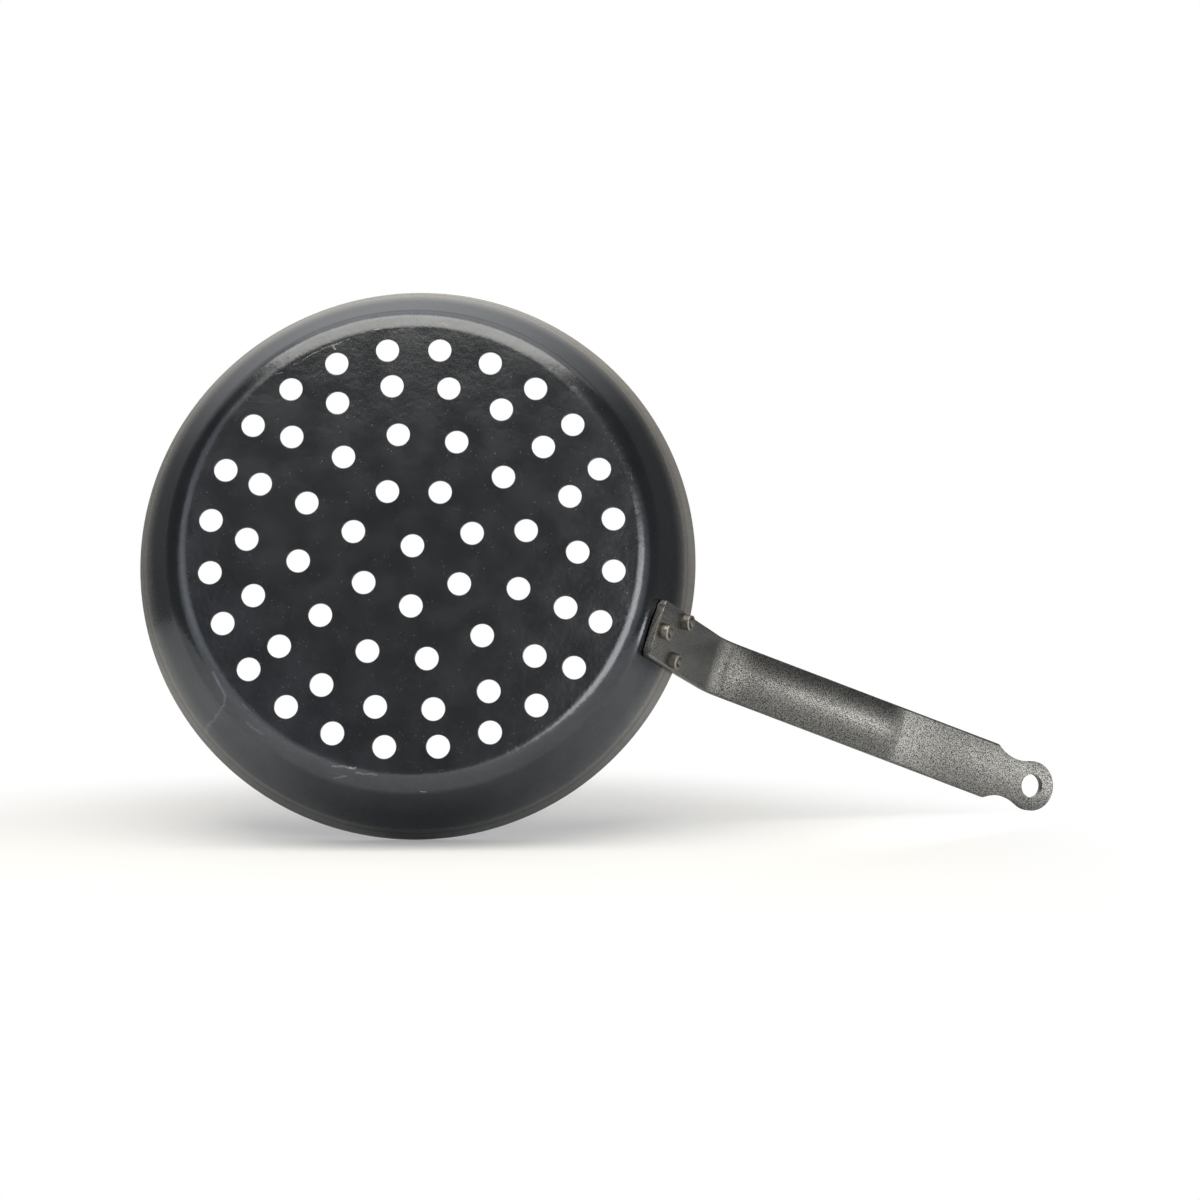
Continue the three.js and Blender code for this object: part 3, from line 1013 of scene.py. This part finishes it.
class Skin:
    """A metal material under work: its tree, its shader's inputs, the object's own place and
    the colour so far."""

    def __init__(self, name, roughness):
        self.material = bpy.data.materials.new(name)
        self.material.use_nodes = True
        self.tree = self.material.node_tree
        self.shader = self.tree.nodes["Principled BSDF"].inputs
        self.shader["Metallic"].default_value = 1.0
        self.shader["Roughness"].default_value = roughness
        self.place = node(self.tree, "TexCoord").outputs["Object"]
        self.colour = None

    def noted(self, name):
        """Three numbers of a place that the mesh stores for each vertex."""
        return xyz(self.tree, node(self.tree, "Attribute", attribute_name=name).outputs["Vector"])

    def tones(self, per_metre):
        """Cloudy changes of tone."""
        return tone_patches(self.tree, {"Place": self.place, "Per Metre": per_metre})

    def specks(self, per_metre, size, part):
        """Small specks, in a part of the cells that the surface is divided into."""
        inputs = {"Place": self.place, "Per Metre": per_metre, "Size": size, "Share": part}
        return small_specks(self.tree, inputs)

    def shaded(self, tint, shade):
        """Colour multiplied by a number."""
        return blend(self.tree, 1.0, tint, shade, "MULTIPLY")

    def cover(self, mask, tint):
        """Lay another colour over the colour so far, where a mask says."""
        self.colour = blend(self.tree, mask, self.colour, tint)

    def feed(self, rough, height, depth):
        """Feed the shader with the colour, the roughness and the relief of the surface."""
        bump = node(self.tree, "Bump", {"Height": height, "Distance": depth}).outputs[0]
        links = self.tree.links
        links.new(self.colour, self.shader["Base Color"])
        links.new(rough.limit().socket, self.shader["Roughness"])
        links.new(bump, self.shader["Normal"])
        return self.material


# Finishes


# Each scratch: half of its width in metres, its strength, and its points in millimetres from
# the middle of the base.
SCRATCHES = (
    (0.0004, 0.35, ((-84.0, -67.1, 0), (-73.6, -78.7, 0), (-62.3, -87.6, 0))),
    (0.0007, 0.50, ((-69.4, -82.0, 0), (-67.8, -81.0, 0))),
    (0.0006, 0.28, ((-90.6, -59.3, 0), (-88.2, -61.5, 0))),
    (0.0005, 0.25, ((-52.7, -96.2, 0), (-49.3, -98.0, 0))),
    (0.0010, 0.16, (
        (-70.4, 88.2, 0.6), (-61.5, 96.6, 1.3), (-60.9, 101.0, 3.8), (-65.5, 107.7, 18.0),
        (-70.2, 112.8, 30.5), (-70.5, 115.6, 35.4),
    )),
    (0.0010, 0.10, ((-47.3, 105.7, 2.0), (-38.1, 108.8, 1.7))),
    (0.0005, 0.30, ((-2.0, 112.6, 0.5), (5.6, 110.7, 0.1))),
    (0.0006, 0.65, ((5.6, 110.8, 0.2), (9.0, 109.9, 0.1))),
    (0.0005, 0.25, ((10.0, 112.2, 0.5), (19.4, 110.1, 0.3))),
    (0.0006, 0.25, ((0.6, 117.5, 3.4), (5.8, 114.9, 1.6))),
    (0.0006, 0.55, ((41.9, 110.8, 4.3), (44.0, 110.1, 4.5))),
)


def scratch_mask(tree, place):
    """Mask of the single scratches on the bowl, each with its own strength."""
    wobble = (noise(tree, place, 180.0) - 0.5) * 0.002
    bent = vector_calc(tree, "ADD", place, wobble)
    total = None
    for half_width, strength, points in SCRATCHES:
        ends = [(AXIS_X + x / 1000, y / 1000, z / 1000) for x, y, z in points]
        for first, second in zip(ends, ends[1:]):
            inputs = {"Place": bent, "From": first, "To": second, "Half Width": half_width}
            mask = single_scratch(tree, inputs) * strength
            total = mask if total is None else total.calc("MAXIMUM", mask)
    broken = noise(tree, place, 900.0, 3.0).between(0.3, 0.6, 0.35, 1.0)
    return total * broken


def blued_steel(pan, finish):
    """Oxide skin with cloudy tones, specks and scratches, and the warm band ground below the rim,
    which starts at a wandering painted highlight line, with a painted shade line just inside it."""
    skin = Skin("blued_steel", finish.steel_roughness)
    skin.shader["Specular Tint"].default_value = finish.grazing_steel
    tree, place = skin.tree, skin.place
    wall = Wall(pan)
    x, y, z = xyz(tree, place)
    x = x - AXIS_X
    radius = (x * x + y * y).root()
    towards_x, towards_y = x / radius, y / radius
    down = (pan.rim_radius - radius) * wall.up.x + (pan.height - z) * wall.up.y
    outwards = (radius - pan.rim_radius) * wall.out.x + (z - pan.height) * wall.out.y
    outside = outwards.between(-0.0011, -0.0005)

    def streaks(round_scale, last, detail=2.0):
        scaled = combine(tree, towards_x * round_scale, towards_y * round_scale, last)
        return noise(tree, scaled, 1.0, detail)

    big, middle, small, grain = (skin.tones(scale) for scale in (14.0, 60.0, 420.0, 1500.0))
    shade = 0.80 + big * 0.14 + middle * 0.10 + small * 0.08 + grain * 0.10
    up_wall = down.between(0.003, 0.026, 1.0, 0.0)
    # Painted shade: the pale upper wall and the ground band are faded on the side that faces the
    # floor, where the floor's contact shadow falls.
    to_bottom = towards_x * 0.31 + towards_y * 0.95
    bottom = to_bottom.between(0.1, 0.9)
    oxide = blend(tree, up_wall * (1 - bottom * 0.8), finish.blued_steel, finish.blued_wall)
    skin.colour = skin.shaded(oxide, shade)

    past = down - (0.0096 + towards_x * (0.0018 - 0.004 * towards_y))
    band = past.between(-0.0015, 0.0035, 1.0, 0.0) * outside
    round_lines = streaks(5, down * 2400)
    ticks = streaks(160, down * 90)
    ground = round_lines.between(0.3, 0.7, 0.82, 1.12) * ticks.between(0.3, 0.7, 0.9, 1.08)
    # Painted shade: the band is laid fainter on the side that faces the floor.
    skin.cover(band * (1 - bottom * 0.6) * 0.85, skin.shaded(finish.ground_steel, ground))
    # Painted highlight and painted shade: a pale line where the band starts and a dark line just
    # inside the band, standing in for light and shade on the edge of a ground facet.
    pale = past.line_at(0.0, 0.0017) * outside
    dark = past.line_at(-0.0029, 0.0014) * outside
    skin.cover(pale * 0.28, finish.bare_steel_and_highlight)
    skin.cover(dark * 0.45, finish.blued_steel)

    dust = skin.specks(520.0, 0.22, 0.16)
    coarse = skin.specks(230.0, 0.13, 0.2)
    where = middle.between(0.35, 0.8, 0.3, 1.0)
    hairs = hair_scratches(tree, {"Place": place})
    marks = scratch_mask(tree, place)
    corner = radius.line_at(pan.base_radius + 0.002, 0.004) * (1 - up_wall)
    scuffs = streaks(14, radius * 900, 3.0).between(0.62, 0.78) * corner
    worn = dust * where * 0.07 + coarse * where * 0.05 + hairs * 0.08 + scuffs * 0.35
    skin.cover(worn.limit(), finish.bare_steel_and_highlight)
    skin.cover(marks, finish.scratch_and_highlight)
    # Painted shade: the upper wall's matte share fades towards the floor side, so that side stays
    # darker.
    painted_shade_matte = to_bottom.between(-0.3, 0.9, 0.62, 0.12)
    tree.links.new((1 - up_wall * painted_shade_matte).socket, skin.shader["Metallic"])

    rough = finish.steel_roughness - 0.02 + middle * 0.04 + band * 0.14
    rough = rough + (dust + coarse + marks + scuffs) * 0.12
    height = small * 0.25 + middle * 1.0 - marks * 0.4 + round_lines * band * 0.5
    return skin.feed(rough, height, 0.00006)


def hammer_coating(finish):
    """Grey coating with a fine hammered grain on the grip, smoother and darker on the plate."""
    skin = Skin("hammer_coating", finish.coating_roughness)
    tree, place = skin.tree, skin.place
    station, across, _ = skin.noted("bar_place")
    on_grip = station.between(0.055, 0.096)
    near_end = station.between(0.002, 0.036, 1.0, 0.0) * 0.75
    near_side = across.size().between(0.0115, 0.0148)
    near_edge = near_end.calc("MAXIMUM", near_side)
    grained = (on_grip + near_edge * 0.6 + 0.4).limit()
    # Painted highlight: thin pale lines along the plate's rounded side edges and near its end's
    # edge, fading out away from the end.
    side_highlight = across.size().line_at(0.0138, 0.0007)
    end_highlight = station.line_at(0.0014, 0.0007)
    painted_edge_highlight = side_highlight.calc("MAXIMUM", end_highlight) * station.between(0.02, 0.045, 0.7, 0.0)

    cells = noise(tree, place, 2000.0, 1.5)
    finer = noise(tree, place, 3800.0, 1.0)
    grain = (cells * 0.7 + finer * 0.3).between(0.39, 0.61)
    patches = skin.tones(55.0)
    flakes = blend(tree, grain, finish.coating_dark, finish.coating)
    skin.colour = blend(tree, patches, finish.plate_dark, finish.plate_pale)
    skin.cover(grained, flakes)
    skin.cover(painted_edge_highlight, finish.bare_steel_and_highlight)
    skin.cover(skin.specks(350.0, 0.2, 0.15) * 0.3, finish.bare_steel_and_highlight)
    rough = finish.coating_roughness + (1 - grain) * grained * 0.10 - patches * 0.05
    return skin.feed(rough, grain * grained + patches * 0.1, 0.000025)


def turned_steel(finish):
    """Plain steel of a rivet: turned rings, a painted highlight round the tail's edge, and a
    darker hollow with a burnt ring round it.
    """
    skin = Skin("turned_steel", finish.rivet_roughness)
    tree = skin.tree
    out, height, _ = skin.noted("rivet_place")
    rings = noise(tree, combine(tree, out * 40, height * 30, 0.0), 1.0, 2.0)
    mottle = skin.tones(900.0)
    shade = rings.between(0.3, 0.7, 0.82, 1.08) * mottle.between(0.0, 1.0, 0.8, 1.08)
    skin.colour = skin.shaded(finish.rivet_steel, shade)
    on_tail = height.between(0.5, 0.8)
    hollow = out.between(0.42, 0.60, 1.0, 0.0) * on_tail
    burnt = out.line_at(0.60, 0.12) * on_tail
    # Painted highlight: a pale ring on the tail's rounded edge, which is also made a little
    # smoother.
    edge = out.line_at(0.93, 0.16) * on_tail
    skin.cover(hollow * 0.75, finish.rivet_hollow)
    skin.cover(burnt * 0.55, finish.rivet_burnt)
    skin.cover(edge * 0.3, finish.scratch_and_highlight)
    skin.cover(skin.specks(1400.0, 0.3, 0.3) * 0.4, finish.blued_steel)
    rough = finish.rivet_roughness + mottle * 0.08 - edge * 0.06
    return skin.feed(rough, rings * 0.5 + mottle * 0.5, 0.00004)


# Stage


WARM, STRIP_TINT = (1.0, 0.93, 0.80), (1, 0.98, 0.94)
# Each lamp: name, centre as seen from the pan and the way that its back points, both in the
# lamps' frame, width and height, power in watts, and tint. Without a way it faces the pan.
LAMPS = (
    ("key", (-0.02, 0.75, 1.93), (0, 1, 0), (1.08, 3.38), 42.0, WARM),
    ("key_edge", (0.10, 0.75, 0.06), (0, 1, 0), (1.0, 0.36), 0.7, WARM),
    ("fill", (1.70, -0.75, 3.66), None, (1.7, 1.8), 33.0, (1.0, 0.955, 0.88)),
    ("inside", (-0.1, 0.55, -1.3), None, (0.8, 0.8), 3.5, (1, 1, 1)),
    ("reflector", (-0.66, 0.14, 1.34), None, (0.6, 0.9), 0.8, (0.95, 0.98, 1)),
)
# The grip's lamp: length and width, share of the power, and shift up in the picture. The second
# lamp, over the flat end, begins with its name, its station and its distance from the grip.
STRIP = ((0.105, 0.025), 1.0, 0.0)
END_STRIP = ("end_strip", 0.172, 0.045, (0.075, 0.0125), 0.35, 0.004)
# Width and length of the floor, how far it is moved towards the camera, and the distances from
# the shadow's middle between which it fades.
FLOOR_REACH, FLOOR_SHIFT, FLOOR_FADE = (1.4, 3.6), 0.05, (0.20, 0.36)


def floor_paper(settings):
    """Pale paper that keeps the object's shadow and fades into the white background. Seen from
    below it isn't there."""
    material = bpy.data.materials.new("floor_paper")
    material.use_nodes = True
    tree = material.node_tree
    tree.nodes.clear()
    camera_ray = Field(tree, node(tree, "LightPath").outputs["Is Camera Ray"])
    x, y, _ = xyz(tree, node(tree, "TexCoord").outputs["Object"])
    x, y = x * FLOOR_REACH[0], (y - settings.shadow_middle) * FLOOR_REACH[1]
    far = (x * x + y * y).root().between(*FLOOR_FADE)
    paper = node(tree, "BsdfDiffuse", {"Color": settings.floor_colour})
    lift = node(tree, "Emission", {"Strength": camera_ray * settings.floor_lift})
    both = node(tree, "AddShader", {0: paper.outputs[0], 1: lift.outputs[0]})
    white = node(tree, "Emission", {"Strength": 1.0})
    faded = node(tree, "MixShader", {0: far * camera_ray, 1: both.outputs[0], 2: white.outputs[0]})
    clear = node(tree, "BsdfTransparent")
    behind = node(tree, "NewGeometry").outputs["Backfacing"]
    shown = node(tree, "MixShader", {0: behind, 1: faded.outputs[0], 2: clear.outputs[0]})
    node(tree, "OutputMaterial", {"Surface": shown.outputs[0]})
    return material


def add_surroundings(scene, settings, lamp_axes):
    """World that is white to the camera, even light to rough surfaces, and to gloss a dim room
    with a bright backdrop, a pale ceiling and two pale sheets."""
    world = bpy.data.worlds.new("studio")
    scene.world = world
    world.use_nodes = True
    tree = world.node_tree
    facing = node(tree, "TexCoord").outputs["Generated"]
    # Each range has the cosines at the faded edge and at the full part of what gloss mirrors.
    backdrop = dot(tree, facing, settings.backdrop_side).between(0.86, 0.93)
    ceiling = dot(tree, facing, settings.ceiling_side)
    ceiling = ceiling.between(0.62, 1.0, 0.0, settings.ceiling_level)
    left = dot(tree, facing, lamp_axes @ Vector(settings.left_sheet)).between(0.89, 0.985)
    right = dot(tree, facing, lamp_axes @ Vector(settings.right_sheet)).between(0.84, 0.99)
    seen = ceiling + left * settings.left_level + right * settings.right_level + settings.room_level
    seen = backdrop.calc("MAXIMUM", seen)
    path = node(tree, "LightPath").outputs
    mirrored = Field(tree, path["Is Glossy Ray"]).calc("MAXIMUM", path["Is Transmission Ray"])
    level = mirrored * (seen - settings.air_level) + settings.air_level
    background = tree.nodes["Background"].inputs
    background["Color"].default_value = (1, 1, 1, 1)
    tree.links.new(level.calc("MAXIMUM", path["Is Camera Ray"]).socket, background["Strength"])


def axes(back, side):
    """Matrix with Z along one direction and X as near to another as it can be."""
    back = back.normalized()
    right = (side - back * side.dot(back)).normalized()
    return Matrix((right, back.cross(right), back)).transposed()


def mirrored_view(settings, place, normal):
    """Direction that a flat glossy face at a place mirrors to the camera."""
    to_camera = (Vector(settings.camera_place) - place).normalized()
    return to_camera.reflect(normal) * -1


def add_camera(scene, settings):
    """The camera, where the settings have it."""
    data = bpy.data.cameras.new("camera")
    data.lens = settings.lens
    data.sensor_width = 36
    data.clip_start = 0.01
    camera = bpy.data.objects.new("camera", data)
    camera.location = settings.camera_place
    camera.rotation_euler = settings.camera_turn
    scene.collection.objects.link(camera)
    scene.camera = camera


def add_lamp(name, centre, back, side, size, power, tint):
    """Rectangular lamp that the camera doesn't see, given the way its back points and the
    direction of its first side."""
    light = bpy.data.lights.new(name, "AREA")
    light.shape = "RECTANGLE"
    light.size, light.size_y = size
    light.energy = power
    light.color = tint
    lamp = bpy.data.objects.new(name, light)
    bpy.context.scene.collection.objects.link(lamp)
    lamp.location = centre
    lamp.rotation_euler = axes(back, side).to_euler()
    lamp.visible_camera = False


def add_strips(settings, line, lamp_axes):
    """Narrow lamps along the grip, about where a flat underside would mirror them to the camera."""
    along = Vector((line.along.x, 0, line.along.y))
    under = Vector((line.along.y, 0, -line.along.x))
    strip = ("strip", settings.strip_station, settings.strip_distance, *STRIP)
    for name, station, distance, size, part, shift in (strip, END_STRIP):
        grip = in_space(line.grip_start + line.along * station)
        back = mirrored_view(settings, grip, under)
        centre = grip + back * distance + lamp_axes @ Vector((0, shift, 0))
        add_lamp(name, centre, back, along, size, settings.strip_power * part, STRIP_TINT)


def add_floor(settings, middle):
    """Pale floor below the object in the picture, seen nearly edge on."""
    turned = settings.camera_turn.to_matrix()
    pitch = settings.floor_pitch
    normal = turned @ Vector((0, math.cos(pitch), math.sin(pitch)))
    floor_axes = axes(normal, turned @ Vector((1, 0, 0)))
    floor = add_object(bpy.ops.mesh.primitive_plane_add, size=1)
    floor.name = "floor"
    floor.scale = (*FLOOR_REACH, 1)
    floor.rotation_euler = floor_axes.to_euler()
    foot = middle - normal * (middle.dot(normal) + settings.floor_drop)
    floor.location = foot - floor_axes.col[1] * FLOOR_SHIFT
    floor.data.materials.append(floor_paper(settings))


# Operators


class PAN_OT_bowl(bpy.types.Operator):
    """Model the perforated bowl and give it its blued skin"""

    bl_idname = "perforated_pan.bowl"
    bl_label = "Bowl"

    def execute(self, context):
        scene = context.scene
        pan = scene.pan_sizes
        piece = model_bowl(pan)
        drill_rivet_holes(piece, Bar(pan, scene.handle_sizes), scene.rivet_sizes)
        material = blued_steel(pan, scene.pan_finishes)
        finish_piece(piece, "bowl", "pan_body", material)
        return {"FINISHED"}


class PAN_OT_handle(bpy.types.Operator):
    """Model the flat-bar handle and give it its coating"""

    bl_idname = "perforated_pan.handle"
    bl_label = "Handle"

    def execute(self, context):
        scene = context.scene
        line = Bar(scene.pan_sizes, scene.handle_sizes)
        piece = model_handle(line, scene.rivet_sizes)
        note_place(piece, "bar_place", line.place_on_bar)
        material = hammer_coating(scene.pan_finishes)
        finish_piece(piece, "bar_handle", "handle", material)
        return {"FINISHED"}


class PAN_OT_rivets(bpy.types.Operator):
    """Model one rivet and copy it to its three places"""

    bl_idname = "perforated_pan.rivets"
    bl_label = "Rivets"

    def execute(self, context):
        scene = context.scene
        line = Bar(scene.pan_sizes, scene.handle_sizes)
        rivets = scene.rivet_sizes
        pattern = model_rivet(line, rivets, scene.pan_sizes.sheet)
        top = rivets.tail_height + line.sizes.thickness
        note_place(pattern, "rivet_place", lambda co: (
            math.hypot(co.x, co.y) / rivets.tail, co.z / top, 0,
        ))
        material = turned_steel(scene.pan_finishes)
        for name, (down, side) in rivet_places(line, rivets).items():
            piece = pattern.copy()
            piece.data = pattern.data.copy()
            context.collection.objects.link(piece)
            put(piece, to_wall, line, down, side)
            finish_piece(piece, "turned_" + name, name, material)
        bpy.data.objects.remove(pattern)
        return {"FINISHED"}


class PAN_OT_stage(bpy.types.Operator):
    """Set the floor, the lamps, the surroundings and the camera"""

    bl_idname = "perforated_pan.stage"
    bl_label = "Stage"

    def execute(self, context):
        scene = context.scene
        settings = scene.pan_stage
        scene.view_settings.view_transform = "Standard"
        add_camera(scene, settings)
        # The lamps' frame has its origin on the pan's axis, X to the camera's right, Y up in
        # the picture and Z the way that the flat base mirrors the camera.
        middle = Vector((AXIS_X, 0, 0))
        right = settings.camera_turn.to_matrix() @ Vector((1, 0, 0))
        lamp_axes = axes(mirrored_view(settings, middle, Vector((0, 0, -1))), right)
        add_surroundings(scene, settings, lamp_axes)
        for name, centre, back, size, power, tint in LAMPS:
            back = lamp_axes @ Vector(back or centre)
            centre = middle + lamp_axes @ Vector(centre)
            add_lamp(name, centre, back, lamp_axes.col[0], size, power, tint)
        add_strips(settings, Bar(scene.pan_sizes, scene.handle_sizes), lamp_axes)
        add_floor(settings, middle)
        return {"FINISHED"}


class PAN_PT_pieces(bpy.types.Panel):
    """Lists the pieces that can be made"""

    bl_idname = "PAN_PT_pieces"
    bl_label = "Perforated Pan"
    bl_space_type = "VIEW_3D"
    bl_region_type = "UI"
    bl_category = "Pan"

    def draw(self, context):
        for operator in (PAN_OT_bowl, PAN_OT_handle, PAN_OT_rivets, PAN_OT_stage):
            self.layout.operator(operator.bl_idname)


CLASSES = (
    PanSizes, HandleSizes, RivetSizes, Finishes, StageSettings,
    PAN_OT_bowl, PAN_OT_handle, PAN_OT_rivets, PAN_OT_stage, PAN_PT_pieces,
)
SETTINGS = {
    "pan_sizes": PanSizes,
    "handle_sizes": HandleSizes,
    "rivet_sizes": RivetSizes,
    "pan_finishes": Finishes,
    "pan_stage": StageSettings,
}


def register():
    for cls in CLASSES:
        bpy.utils.register_class(cls)
    for name, group in SETTINGS.items():
        setattr(bpy.types.Scene, name, bpy.props.PointerProperty(type=group))


def unregister():
    for name in SETTINGS:
        delattr(bpy.types.Scene, name)
    for cls in reversed(CLASSES):
        bpy.utils.unregister_class(cls)


def main():
    register()
    bpy.ops.perforated_pan.bowl()
    bpy.ops.perforated_pan.handle()
    bpy.ops.perforated_pan.rivets()
    bpy.ops.perforated_pan.stage()


if __name__ == "__main__":
    main()
